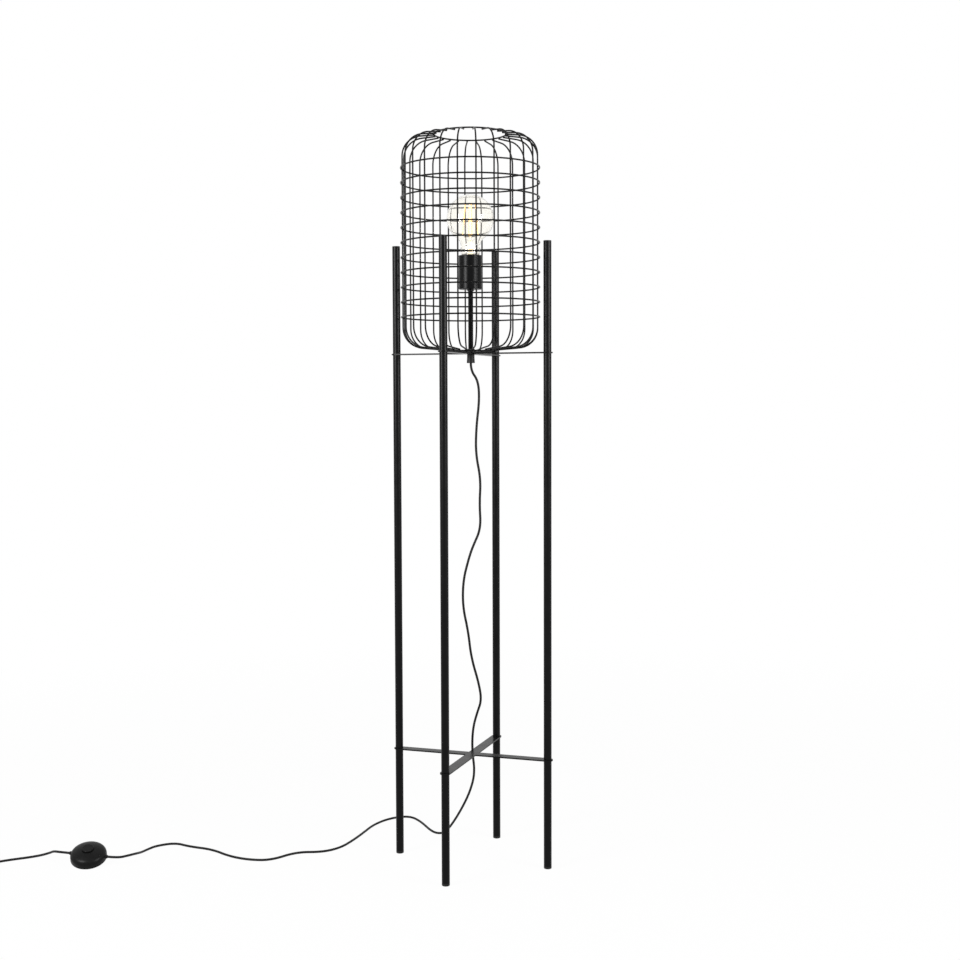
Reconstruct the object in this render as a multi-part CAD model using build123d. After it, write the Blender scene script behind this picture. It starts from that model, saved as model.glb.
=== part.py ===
from build123d import *

import os
from math import acos, cos, pi, radians, sin, sqrt, tan

# Wire cage floor lamp on four tube legs, with its mains cord, foot switch and plug.
# Millimetres. Origin on the floor, on the axis of the cage. +Z is up, +X is the right
# leg and -Y the front leg.

# ---------------------------------------------------------------- fits and welds
slip_gap = 0.05  # radial gap round a piece that is pushed or screwed in
stud_gap = 0.2  # radial gap of a bolt hole
lap_gap = 0.1  # gap round a half-lapped strip
weld_sink = 0.3  # how deep two welded wires sink into each other
moving_gap = 0.3  # gap between the button and the cover

# ---------------------------------------------------------------- legs
leg_circle_radius = 152.0
leg_diameter = 15.0
leg_wall = 1.2
leg_top_height = 1192.0
foot_cap_height = 5.0
foot_cap_round = 1.5
leg_plug_head = 1.2
leg_plug_bevel = 0.4
spigot_length = 12.0
insert_length = 14.0
stud_diameter = 6.0
stud_length = 26.0

# ---------------------------------------------------------------- crosses
lower_cross_height = 210.0
upper_cross_height = 983.5
strip_width = 20.0
strip_thickness = 2.5
upper_hub_diameter = 28.0

# ---------------------------------------------------------------- cage
wire_diameter = 3.0
hoop_radius = 131.4  # of the hoops' centreline
hoop_count = 11
hoop_bottom_gap = 20.2  # from the end of the uprights' lower bend to the lowest hoop
hoop_top_gap = 21.1  # from the highest hoop to the start of their upper bend
upright_count = 24
upright_first_angle = 8.75
cage_corner_radius = 38.0
cage_end_slope = 5.0  # of the uprights' ends, up to the mouth and down to the bottom ring
cage_top_height = 1399.0
mouth_ring_radius = 68.4
bottom_ring_radius = 50.0
spider_arm_width = 12.0
spider_thickness = 2.0
spider_hub_diameter = 26.0

# ---------------------------------------------------------------- stem and cord grip
stem_diameter = 10.0
stem_bore = 7.0
stem_thread_in_holder = 12.0
washer_diameter = 20.0
washer_thickness = 1.2
nut_across_flats = 14.0
nut_thickness = 4.5
collar_diameter = 12.5
collar_thickness = 3.0
grip_length = 16.75
grip_top_diameter = 14.3
grip_mouth_diameter = 15.6
grip_flare_height = 10.0
grip_floor = 6.5
grip_mouth_round = 0.6
grip_screw_diameter = 3.0
grip_screw_sunk = 0.8

# ---------------------------------------------------------------- lampholder
holder_bottom_height = 1105.0
holder_sleeve_length = 64.0
holder_sleeve_diameter = 45.0
holder_sleeve_wall = 1.2
holder_sleeve_floor = 1.5
holder_sleeve_round = 1.5
holder_base_diameter = 38.0
holder_base_length = 26.0
terminal_chamber_diameter = 26.0
insulator_side_gap = 0.3
insulator_floor = 5.0
insulator_top_gap = 1.5
thread_shell_bore = 27.4
thread_shell_wall = 0.5
thread_shell_length = 25.0
centre_contact_diameter = 6.0
centre_contact_gap = 0.3
terminal_screw_diameter = 3.0
terminal_head_diameter = 5.5
terminal_head_height = 2.0
terminal_screw_reach = 6.0  # free length between the head and the insulator
terminal_screw_depth = 3.0
terminal_spacing = 16.0

# ---------------------------------------------------------------- bulb
bulb_diameter = 90.0
bulb_length = 141.0
bulb_glass_wall = 1.0
bulb_neck_diameter = 37.0
bulb_neck_sweep_radius = 20.0
bulb_shoulder_radius = 5.0
bulb_seat_diameter = 23.2
bulb_seat_length = 9.0
cap_length = 27.0
cap_collar_diameter = 26.6
cap_collar_length = 7.0
cap_crest_diameter = 26.1
cap_root_diameter = 24.4
cap_bore = 23.5
cap_thread_pitch = 3.6
cap_thread_count = 4
cap_tip_diameter = 9.6
cap_tip_height = 1.0
cap_foot_diameter = 19.0
cap_foot_height = 1.6
cap_foot_taper = 2.0
cap_foot_lip = 0.5
filament_count = 4
filament_diameter = 1.8
filament_low_radius = 15.0
filament_high_radius = 9.5
filament_low_height = 65.0  # above the tip of the cap, as the next one
filament_high_height = 124.0
filament_first_angle = 30.0
support_wire_diameter = 0.8
glass_flare_length = 9.0
glass_press_diameter = 10.0
glass_press_height = 38.0  # of its top above the lower end of the glass
glass_press_taper = 9.0
glass_rod_diameter = 3.2
glass_bead_diameter = 5.0
glass_bead_length = 3.0
glass_bead_drop = 2.0  # from the upper ends of the filaments to the top of the bead

# ---------------------------------------------------------------- cord
cord_diameter = 4.6
cord_floor_gap = 0.1
cord_end_in_holder = 12.0  # above the end of the stem
floor_line = cord_diameter / 2 + cord_floor_gap  # height of a cord that lies on the floor

# ---------------------------------------------------------------- foot switch
switch_place = (-699.0, -252.5)
switch_heading = 23.5  # of the level line that it is tipped about
switch_tip = 21.5  # it lies tipped on its cord, back edge up
switch_entry_turn = -11.0  # of the line through its two cord entries, from that level line
switch_radius = 34.5
switch_base_thickness = 3.0
switch_base_round = 1.0
switch_rim_height = 7.0
switch_wall = 2.0
switch_shoulder_radius = 11.0
switch_shoulder_angle = 65.0
switch_crown_radius = 52.0
switch_entry_height = 7.3
switch_entry_reach = 3.0
switch_entry_root = 8.4
switch_entry_mouth = 6.8
button_diameter = 23.4
button_rise = 2.7
button_flange_width = 1.7
button_flange_thickness = 2.0
button_flange_drop = 0.9
button_edge_round = 1.2
button_travel = 3.0
spring_diameter = 8.6
spring_wire = 0.9
spring_turns = 6.0
spring_recess_diameter = 11.0
spring_recess_depth = 3.2
spring_peg_diameter = 6.0
spring_peg_height = 3.0
switch_post_radius = 25.0
switch_post_diameter = 7.0
switch_post_length = 13.0
switch_screw_diameter = 2.8
switch_screw_length = 10.0
switch_screw_head = 5.6
switch_screw_head_height = 1.4
switch_screw_sunk = 0.2
switch_screw_count = 3

# ---------------------------------------------------------------- coil and plug
coil_centre = (-922.5, -307.0)
coil_mean_radius = 26.5
coil_turn_gap = 0.45
coil_layer_gap = 0.9
coil_start_angle = -49.0
coil_end_angle = 180.0
coil_whole_turns = 4
plug_relief_length = 22.0
plug_relief_tip = 5.6
plug_relief_root = 9.6
plug_body_length = 36.0
plug_neck_width = 15.0
plug_neck_thickness = 11.0
plug_face_width = 35.3
plug_face_thickness = 13.7
plug_waist_share = 0.55  # how far along the body its thickest place is
plug_waist_width = 26.0
pin_diameter = 4.0
pin_length = 19.0
pin_spacing = 18.6
pin_root_length = 8.0  # of the narrower end moulded into the body
pin_root_diameter = 3.4
pin_tip_round = 1.2

# Hand-picked points of the cord from the grip to the foot switch. It hangs in slow waves,
# passes behind the middle of the lower cross, and then lies on the floor.
hanging_points = [
    (0, 0, 951), (13, 5, 932), (15, 6, 895), (9, 5, 845), (7, 6, 793), (16, 10, 743),
    (13, 10, 695), (16, 10, 648), (0, 6, 612), (-7, 2, 588), (-17, -1, 547), (-18, -1, 497),
    (-9, 5, 448), (-5, 10, 397), (8, 18, 345), (12, 22, 311), (1, 27, 285), (-10, 33, 252),
    (-16, 45, 206), (-15, 60, 157), (-31, 77, 114), (-56, 97, 71), (-84, 118, 31),
    (-105, 130, 7),
]
floor_points = [
    (-123, 134), (-144, 149), (-184, 200), (-222, 232), (-256, 205), (-272, 151), (-270, 89),
    (-270, 39), (-274, -14), (-297, -51), (-346, -67), (-371, -128), (-412, -139), (-459, -132),
    (-513, -104), (-566, -102), (-604, -90), (-632, -119),
]
switch_approach_points = [(-635, -148, 3), (-631, -176, 6.5), (-624, -203, 13.5), (-626, -228, 17)]
tail_points = [(-775, -258, 19.5), (-792, -246, 11), (-811, -246, 4.5)]
tail_floor_points = [(-829, -259), (-856, -284)]
entry_run = 22.0  # the cord leaves the switch square to its entries for this far
tail_last_run = 24.0

os.makedirs("parts", exist_ok=True)

MIDDLE_UP = (Align.CENTER, Align.CENTER, Align.MIN)


def save(name, *shapes):
    """Writes one named piece, or a group of like solids, to its own STEP file."""
    solids = [solid for shape in shapes for solid in shape.solids()]
    export_step(solids[0] if len(solids) == 1 else Compound(solids), f"parts/{name}.step")


def disc(diameter, thickness, bottom=0.0):
    """A round blank that stands at the height bottom."""
    return Pos(0, 0, bottom) * Cylinder(diameter / 2, thickness, align=MIDDLE_UP)


def ring(outside, inside, thickness, bottom=0.0):
    """A tube or washer that stands at the height bottom."""
    return disc(outside, thickness, bottom) - disc(inside, thickness, bottom)


def turned(*edges):
    """A solid of revolution about Z from a closed outline of radii and heights."""
    return revolve(Plane.XZ * make_face(edges), Axis.Z)


def turned_points(*points):
    """As turned, from the corners of a straight-sided outline."""
    return turned(Polyline(*points, close=True))


def rod(start, end, diameter):
    """A straight round wire between two points."""
    reach = Vector(*end) - Vector(*start)
    return Plane(origin=start, z_dir=reach) * Cylinder(diameter / 2, reach.length, align=MIDDLE_UP)


def around(count, first_angle, shape):
    """Copies of a shape, evenly spaced about Z."""
    return [Rot(0, 0, first_angle + i * 360 / count) * shape for i in range(count)]


# ================================================================ legs
leg_bore = leg_diameter - 2 * leg_wall
lower_cross_bottom = lower_cross_height - strip_thickness / 2
lower_cross_top = lower_cross_height + strip_thickness / 2
upper_cross_bottom = upper_cross_height - strip_thickness / 2
upper_cross_top = upper_cross_height + strip_thickness / 2

leg_directions = {"front": (0, -1), "rear": (0, 1), "left": (-1, 0), "right": (1, 0)}
leg_sections = {
    "lower": (foot_cap_height, lower_cross_bottom),
    "middle": (lower_cross_top, upper_cross_bottom),
    "upper": (upper_cross_top, leg_top_height - leg_plug_head),
}


def foot_cap():
    """Moulded cap under a leg: a rounded foot with a spigot inside the tube."""
    head = disc(leg_diameter, foot_cap_height)
    head = fillet(head.edges().sort_by(Axis.Z)[0], foot_cap_round)
    return head + disc(leg_bore - 2 * slip_gap, spigot_length, foot_cap_height)


def leg_plug():
    """Flat plug that closes the top of a leg."""
    seat = leg_top_height - leg_plug_head
    head = disc(leg_diameter, leg_plug_head, seat)
    head = chamfer(head.edges().sort_by(Axis.Z)[-1], leg_plug_bevel)
    return head + disc(leg_bore - 2 * slip_gap, spigot_length, seat - spigot_length)


def leg_insert(bottom):
    """Threaded bush pressed into the end of a leg tube."""
    return ring(leg_bore - 2 * slip_gap, stud_diameter + 2 * slip_gap, insert_length, bottom)


plugs = []
inserts = []
studs = []
for side, (x, y) in leg_directions.items():
    stand = Pos(x * leg_circle_radius, y * leg_circle_radius, 0)
    for section, (bottom, top) in leg_sections.items():
        tube_length = top - bottom
        save(f"leg_{side}_{section}", stand * ring(leg_diameter, leg_bore, tube_length, bottom))
    save(f"foot_cap_{side}", stand * foot_cap())
    plugs.append(stand * leg_plug())
    for cross_bottom, cross_top in (
        (lower_cross_bottom, lower_cross_top),
        (upper_cross_bottom, upper_cross_top),
    ):
        inserts.append(stand * leg_insert(cross_bottom - insert_length))
        inserts.append(stand * leg_insert(cross_top))
        stud_bottom = (cross_bottom + cross_top - stud_length) / 2
        studs.append(stand * disc(stud_diameter, stud_length, stud_bottom))
save("leg_plugs", *plugs)
save("leg_inserts", *inserts)
save("leg_studs", *studs)


# ================================================================ crosses
def cross_strip(bottom, hub_diameter, bore, lap_bottom):
    """A flat strip along X with round ends bored for the studs, half its thickness cut away
    in the middle, from the height lap_bottom, where the other strip crosses it."""
    strip = Pos(0, 0, bottom) * Box(
        2 * leg_circle_radius, strip_width, strip_thickness, align=MIDDLE_UP
    )
    for end in (-leg_circle_radius, leg_circle_radius):
        strip += Pos(end, 0, 0) * disc(strip_width, strip_thickness, bottom)
    for end in (-leg_circle_radius, leg_circle_radius):
        strip -= Pos(end, 0, 0) * disc(stud_diameter + 2 * stud_gap, strip_thickness, bottom)
    lap_width = strip_width + 2 * lap_gap
    lap = Pos(0, 0, lap_bottom) * Box(lap_width, lap_width, strip_thickness / 2, align=MIDDLE_UP)
    if hub_diameter > strip_width:
        strip += disc(hub_diameter, strip_thickness, bottom)
        strip -= disc(bore, strip_thickness, bottom)
        lap += disc(hub_diameter + 2 * lap_gap, strip_thickness / 2, lap_bottom)
    return strip - lap


stem_hole = stem_diameter + 2 * stud_gap
for level, bottom, middle, hub in (
    ("lower", lower_cross_bottom, lower_cross_height, 0.0),
    ("upper", upper_cross_bottom, upper_cross_height, upper_hub_diameter),
):
    save(f"{level}_strip_left_right", cross_strip(bottom, hub, stem_hole, middle))
    save(f"{level}_strip_front_rear", Rot(0, 0, 90) * cross_strip(bottom, hub, stem_hole, bottom))


# ================================================================ cage
spider_top = upper_cross_top + spider_thickness
bottom_ring_height = spider_top + wire_diameter / 2 - weld_sink
top_ring_height = cage_top_height - wire_diameter / 2
wire_step = wire_diameter - weld_sink  # between the centrelines of two welded wires
upright_radius = hoop_radius - wire_step
end_slope = tan(radians(cage_end_slope))
ring_overlap = wire_diameter / 2  # how far an upright's end reaches inside a ring's centreline
lower_corner = bottom_ring_height + wire_step + (upright_radius - bottom_ring_radius) * end_slope
upper_corner = top_ring_height - wire_step - (upright_radius - mouth_ring_radius) * end_slope
bend_reach = cage_corner_radius * tan(radians(90 - cage_end_slope) / 2)
lowest_hoop = lower_corner + bend_reach + hoop_bottom_gap
highest_hoop = upper_corner - bend_reach - hoop_top_gap
hoop_pitch = (highest_hoop - lowest_hoop) / (hoop_count - 1)


def upright():
    """One cage wire, bent inwards at both ends to lie on the end rings from inside."""
    bottom_end = bottom_ring_radius - ring_overlap
    top_end = mouth_ring_radius - ring_overlap
    path = FilletPolyline(
        (bottom_end, 0, lower_corner - (upright_radius - bottom_end) * end_slope),
        (upright_radius, 0, lower_corner),
        (upright_radius, 0, upper_corner),
        (top_end, 0, upper_corner + (upright_radius - top_end) * end_slope),
        radius=cage_corner_radius,
    )
    section = Plane(origin=path @ 0, z_dir=path % 0) * Circle(wire_diameter / 2)
    return sweep(section, path=path)


def hoop(radius, height):
    """A closed round hoop of wire."""
    return Pos(0, 0, height) * Torus(radius, wire_diameter / 2)


save("cage_uprights", *around(upright_count, upright_first_angle, upright()))
save("cage_hoops", *[hoop(hoop_radius, lowest_hoop + i * hoop_pitch) for i in range(hoop_count)])
save("cage_top_ring", hoop(mouth_ring_radius, top_ring_height))
save("cage_bottom_ring", hoop(bottom_ring_radius, bottom_ring_height))

spider_arm = Pos(0, 0, upper_cross_top) * Box(
    2 * bottom_ring_radius + wire_diameter, spider_arm_width, spider_thickness, align=MIDDLE_UP
)
spider = spider_arm + Rot(0, 0, 90) * spider_arm
spider += disc(spider_hub_diameter, spider_thickness, upper_cross_top)
save("cage_spider", spider - disc(stem_hole, spider_thickness, upper_cross_top))

# ================================================================ stem and cord grip
grip_top = upper_cross_bottom
grip_bottom = grip_top - grip_length
grip_seat = grip_bottom + grip_floor
holder_floor_top = holder_bottom_height + holder_sleeve_floor
stem_top = holder_floor_top + stem_thread_in_holder
stem_seat = stem_diameter + 2 * slip_gap

save("stem_tube", ring(stem_diameter, stem_bore, stem_top - grip_seat, grip_seat))
save("stem_washer", ring(washer_diameter, stem_hole, washer_thickness, spider_top))
nut_bottom = spider_top + washer_thickness
nut = extrude(RegularPolygon(nut_across_flats / 2, 6, major_radius=False), nut_thickness)
save("stem_nut", Pos(0, 0, nut_bottom) * nut - disc(stem_seat, nut_thickness, nut_bottom))
collar_bottom = holder_bottom_height - collar_thickness
save("holder_collar", ring(collar_diameter, stem_seat, collar_thickness, collar_bottom))


def cord_grip():
    """Flared grip screwed on the foot of the stem, with a side hole for its clamp screw."""
    flare_top = grip_bottom + grip_flare_height
    body = turned_points(
        (0, grip_bottom),
        (grip_mouth_diameter / 2, grip_bottom),
        (grip_top_diameter / 2, flare_top),
        (grip_top_diameter / 2, grip_top),
        (0, grip_top),
    )
    body = fillet(body.edges().sort_by(Axis.Z)[0], grip_mouth_round)
    body -= disc(stem_seat, grip_length, grip_seat)
    body -= disc(cord_diameter + 2 * stud_gap, grip_length, grip_bottom)
    return body - rod((0, 0, screw_height), (0, grip_mouth_diameter, screw_height), grip_screw_hole)


screw_height = grip_bottom + grip_floor / 2
grip_screw_hole = grip_screw_diameter + 2 * slip_gap
screw_tip = cord_diameter / 2 + slip_gap
screw_end = grip_top_diameter / 2 - grip_screw_sunk
save("cord_grip", cord_grip())
save(
    "cord_grip_screw",
    rod((0, screw_tip, screw_height), (0, screw_end, screw_height), grip_screw_diameter),
)
cord_inside = stem_top + cord_end_in_holder - grip_bottom
save("cord_in_stem", disc(cord_diameter, cord_inside, grip_bottom))

# ================================================================ lampholder
sleeve_bore = holder_sleeve_diameter - 2 * holder_sleeve_wall
holder_top_height = holder_bottom_height + holder_sleeve_length
base_top = holder_floor_top + holder_base_length
insulator_top = holder_top_height - insulator_top_gap
shell_bottom = base_top + insulator_floor
bulb_tip_height = holder_top_height + 1.0 - cap_length

sleeve = disc(holder_sleeve_diameter, holder_sleeve_length, holder_bottom_height)
sleeve = fillet(sleeve.edges().sort_by(Axis.Z)[0], holder_sleeve_round)
sleeve -= disc(sleeve_bore, holder_sleeve_length, holder_floor_top)
save("holder_sleeve", sleeve - disc(stem_hole, holder_sleeve_floor, holder_bottom_height))

holder_base = disc(holder_base_diameter, holder_base_length, holder_floor_top)
holder_base -= disc(stem_seat, stem_thread_in_holder, holder_floor_top)
holder_base -= disc(terminal_chamber_diameter, base_top - stem_top, stem_top)
save("holder_base", holder_base)

shell_outside = thread_shell_bore + 2 * thread_shell_wall
terminal_places = [(-terminal_spacing / 2, 0), (terminal_spacing / 2, 0)]
insulator = disc(sleeve_bore - 2 * insulator_side_gap, insulator_top - base_top, base_top)
insulator -= disc(shell_outside + 2 * slip_gap, insulator_top - shell_bottom, shell_bottom)
for x, y in terminal_places:
    screw_bore = terminal_screw_diameter + 2 * slip_gap
    insulator -= Pos(x, y, 0) * disc(screw_bore, terminal_screw_depth, base_top)
save("holder_insulator", insulator)
save("holder_thread_shell", ring(shell_outside, thread_shell_bore, thread_shell_length, shell_bottom))
contact_height = bulb_tip_height - centre_contact_gap - shell_bottom
save("holder_centre_contact", disc(centre_contact_diameter, contact_height, shell_bottom))

terminal_screw = disc(terminal_head_diameter, terminal_head_height)
terminal_screw += disc(
    terminal_screw_diameter, terminal_screw_reach + terminal_screw_depth, terminal_head_height
)
terminal_foot = base_top - terminal_screw_reach - terminal_head_height
save("terminal_screws", *[Pos(x, y, terminal_foot) * terminal_screw for x, y in terminal_places])

# ================================================================ bulb
cap_top = bulb_tip_height + cap_length
globe_centre = bulb_tip_height + bulb_length - bulb_diameter / 2
neck_radius = bulb_neck_diameter / 2
shoulder_centre = neck_radius - bulb_shoulder_radius
sweep_centre = neck_radius + bulb_neck_sweep_radius
sweep_reach = bulb_diameter / 2 + bulb_neck_sweep_radius
sweep_height = globe_centre - sqrt(sweep_reach**2 - sweep_centre**2)


def bulb_outline(wall):
    """The bulb filled solid, its surface drawn in by wall: a ball that sweeps into a neck,
    a round shoulder and the straight seat inside the cap."""
    seat = bulb_seat_diameter / 2 - wall
    neck = neck_radius - wall
    ball = bulb_diameter / 2 - wall
    shoulder_bottom = cap_top + wall
    shoulder_height = cap_top + bulb_shoulder_radius
    share = ball / sweep_reach
    join = (share * sweep_centre, globe_centre + share * (sweep_height - globe_centre))
    turn = radians(45)
    shoulder_mid = (
        shoulder_centre + (bulb_shoulder_radius - wall) * sin(turn),
        shoulder_height - (bulb_shoulder_radius - wall) * cos(turn),
    )
    sweep_turn = acos(sweep_centre / sweep_reach) / 2
    sweep_mid = (
        sweep_centre - (bulb_neck_sweep_radius + wall) * cos(sweep_turn),
        sweep_height + (bulb_neck_sweep_radius + wall) * sin(sweep_turn),
    )
    bottom = cap_top - bulb_seat_length
    top = (0, globe_centre + ball)
    return turned(
        Polyline((0, bottom), (seat, bottom), (seat, shoulder_bottom), (shoulder_centre, shoulder_bottom)),
        ThreePointArc((shoulder_centre, shoulder_bottom), shoulder_mid, (neck, shoulder_height)),
        Line((neck, shoulder_height), (neck, sweep_height)),
        ThreePointArc((neck, sweep_height), sweep_mid, join),
        ThreePointArc(join, (ball, globe_centre), top),
        Line(top, (0, bottom)),
    )


save("bulb_glass", bulb_outline(0.0) - bulb_outline(bulb_glass_wall))

thread_bottom = cap_top - cap_collar_length - cap_thread_count * cap_thread_pitch
cap_edges = []
for i in range(cap_thread_count):
    foot = thread_bottom + i * cap_thread_pitch
    cap_edges.append(
        ThreePointArc(
            (cap_root_diameter / 2, foot),
            (cap_crest_diameter / 2, foot + cap_thread_pitch / 2),
            (cap_root_diameter / 2, foot + cap_thread_pitch),
        )
    )
insulator_bottom = bulb_tip_height + cap_tip_height
insulator_foot = insulator_bottom + cap_foot_height
cap_shell = turned(
    Polyline(
        (cap_root_diameter / 2, cap_top - cap_collar_length),
        (cap_collar_diameter / 2, cap_top - cap_collar_length),
        (cap_collar_diameter / 2, cap_top),
        (cap_bore / 2, cap_top),
        (cap_bore / 2, insulator_foot + cap_foot_taper + cap_foot_lip),
        (cap_foot_diameter / 2, insulator_foot + cap_foot_lip),
        (cap_foot_diameter / 2, insulator_foot),
        (cap_root_diameter / 2, insulator_foot + cap_foot_taper),
        (cap_root_diameter / 2, thread_bottom),
    ),
    *cap_edges,
)
cap_tip = disc(cap_tip_diameter, cap_tip_height, bulb_tip_height)
save("bulb_cap", cap_shell, cap_tip)
save(
    "bulb_cap_insulator",
    turned_points(
        (0, insulator_bottom),
        (cap_tip_diameter / 2, insulator_bottom),
        (cap_foot_diameter / 2, insulator_foot),
        (cap_foot_diameter / 2, insulator_foot + cap_foot_lip),
        (0, insulator_foot + cap_foot_lip),
    ),
)

seat_bottom = cap_top - bulb_seat_length
press_top = seat_bottom + glass_press_height
press_radius = glass_press_diameter / 2
rod_radius = glass_rod_diameter / 2
bead_radius = glass_bead_diameter / 2
bead_top = bulb_tip_height + filament_high_height - glass_bead_drop
bead_bottom = bead_top - glass_bead_length
glass_stem = turned_points(
    (0, seat_bottom - bulb_glass_wall),
    (bulb_seat_diameter / 2, seat_bottom - bulb_glass_wall),
    (bulb_seat_diameter / 2, seat_bottom),
    (bulb_seat_diameter / 2 - bulb_glass_wall, seat_bottom),
    (press_radius, seat_bottom + glass_flare_length),
    (press_radius, press_top - glass_press_taper),
    (rod_radius, press_top),
    (rod_radius, bead_bottom),
    (bead_radius, bead_bottom),
    (bead_radius, bead_top),
    (0, bead_top),
)
save("bulb_glass_stem", glass_stem)
low_end = (filament_low_radius, 0, bulb_tip_height + filament_low_height)
high_end = (filament_high_radius, 0, bulb_tip_height + filament_high_height)
filament = rod(low_end, high_end, filament_diameter)
press_seal = (rod_radius, 0, press_top - glass_press_taper / 2)
bead_seal = (rod_radius, 0, bead_top - glass_bead_length / 2)
low_wire = rod(press_seal, low_end, support_wire_diameter)
high_wire = rod(bead_seal, high_end, support_wire_diameter)
low_wire -= glass_stem + filament
high_wire -= glass_stem + filament
save("bulb_filaments", *around(filament_count, filament_first_angle, filament))
save(
    "bulb_support_wires",
    *around(filament_count, filament_first_angle, low_wire),
    *around(filament_count, filament_first_angle, high_wire),
)

# ================================================================ foot switch
# Built flat about its own axis, and then laid on the floor on the rounded front edge.
tip = radians(switch_tip)
switch_lift = (switch_radius - switch_base_round) * sin(tip) - switch_base_round * (cos(tip) - 1)
switch_frame = Pos(*switch_place, switch_lift) * Rot(0, 0, switch_heading)
switch_frame *= Rot(switch_tip, 0, 0) * Rot(0, 0, switch_entry_turn)


def dome(inset):
    """The cover's outside drawn in by inset: a straight rim, a tight shoulder and a low crown."""
    radius = switch_radius - inset
    seat = switch_base_thickness
    shoulder = JernArc(
        (radius, switch_rim_height), (0, 1), switch_shoulder_radius - inset, switch_shoulder_angle
    )
    crown = JernArc(
        shoulder @ 1, shoulder % 1, switch_crown_radius - inset, 90 - switch_shoulder_angle
    )
    top = crown @ 1
    return turned(
        Polyline((0, seat), (radius, seat), (radius, switch_rim_height)),
        shoulder,
        crown,
        Polyline((top.X, top.Y), (0, top.Y), (0, seat)),
    )


cover_solid = dome(0.0)
cover_top = cover_solid.bounding_box().max.Z
button_hole = button_diameter + 2 * moving_gap
cover = cover_solid - dome(switch_wall)
cover -= disc(button_hole, cover_top)
posts = around(
    switch_screw_count,
    90.0,
    Pos(switch_post_radius, 0, 0)
    * ring(
        switch_post_diameter,
        switch_screw_diameter + 2 * slip_gap,
        switch_post_length,
        switch_base_thickness,
    ),
)
cover += posts
entry_root = switch_radius - switch_wall
entry_length = switch_wall + switch_entry_reach
entry = Plane(origin=(entry_root, 0, switch_entry_height), z_dir=(1, 0, 0)) * Cone(
    switch_entry_root / 2, switch_entry_mouth / 2, entry_length, align=MIDDLE_UP
)
cover += around(2, 0.0, entry)
save("switch_cover", switch_frame * cover)

screw_counterbore = switch_screw_head + 2 * stud_gap
screw_sink = switch_screw_sunk + switch_screw_head_height
base = disc(2 * switch_radius, switch_base_thickness)
base = fillet(base.edges().sort_by(Axis.Z)[0], switch_base_round)
base += disc(spring_peg_diameter, spring_peg_height, switch_base_thickness)
screw_hole = disc(screw_counterbore, screw_sink)
screw_hole += disc(switch_screw_diameter + 2 * slip_gap, switch_base_thickness)
screw_holes = around(switch_screw_count, 90.0, Pos(switch_post_radius, 0, 0) * screw_hole)
save("switch_base", switch_frame * (base - screw_holes))
screw = disc(switch_screw_head, switch_screw_head_height, switch_screw_sunk)
screw += disc(switch_screw_diameter, switch_screw_length, screw_sink)
screws = around(switch_screw_count, 90.0, Pos(switch_post_radius, 0, 0) * screw)
save("switch_screws", *[switch_frame * one for one in screws])

button_top = cover_top + button_rise
inner_top = cover_top - switch_wall
flange_top = inner_top - button_flange_drop
flange_bottom = flange_top - button_flange_thickness
button = disc(button_diameter, button_top - flange_bottom, flange_bottom)
button = fillet(button.edges().sort_by(Axis.Z)[-1], button_edge_round)
button += disc(button_diameter + 2 * button_flange_width, button_flange_thickness, flange_bottom)
button -= disc(spring_recess_diameter, spring_recess_depth, flange_bottom)
save("switch_button", switch_frame * button)

spring_length = flange_bottom + spring_recess_depth - switch_base_thickness
coil_height = spring_length - spring_wire
spring_path = Helix(coil_height / spring_turns, coil_height, spring_diameter / 2)
spring_section = Plane(origin=spring_path @ 0, z_dir=spring_path % 0) * Circle(spring_wire / 2)
spring = sweep(spring_section, path=spring_path, is_frenet=True)
spring_bottom = switch_base_thickness + spring_wire / 2
save("switch_spring", switch_frame * Pos(0, 0, spring_bottom) * spring)


# ================================================================ cord
def cord_tube(name, points):
    """A round cord along straight runs joined by tangent arcs, as wide as the runs allow."""
    corners = [Vector(*point) for point in points]
    runs = [b - a for a, b in zip(corners, corners[1:])]
    radii = []
    for before, after in zip(runs, runs[1:]):
        half_turn = radians(before.get_angle(after) / 2)
        radii.append(0.45 * min(before.length, after.length) / tan(half_turn))
    path = FilletPolyline(*corners, radius=radii)
    section = Plane(origin=path @ 0, z_dir=path % 0) * Circle(cord_diameter / 2)
    tube = sweep(section, path=path)
    expected = pi * (cord_diameter / 2) ** 2 * path.length
    print(
        name,
        "length", round(path.length, 1),
        "volume over section times length", round(tube.volume / expected, 5),
        "runs", [round(run.length) for run in runs],
        "radii", [round(radius) for radius in radii],
    )
    save(name, tube)


def beside_switch(distance):
    """A point on the line through the switch's two cord entries."""
    return (switch_frame * Pos(distance, 0, switch_entry_height)).position


entry_place = switch_radius + switch_entry_reach
right_entry = beside_switch(entry_place)
left_entry = beside_switch(-entry_place)

coil_pitch = cord_diameter + coil_turn_gap
coil_rise = cord_diameter + coil_layer_gap
coil_turns = coil_whole_turns + ((coil_start_angle - coil_end_angle) % 360) / 360
coil_half = coil_turns / 2
coil_inner_radius = coil_mean_radius - coil_half * coil_pitch / 2
coil_climb = 0.25  # turns before and after the reversal in which the cord climbs a layer
coil_steepness = 1.5  # of the middle of the climb, against an even one


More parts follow.
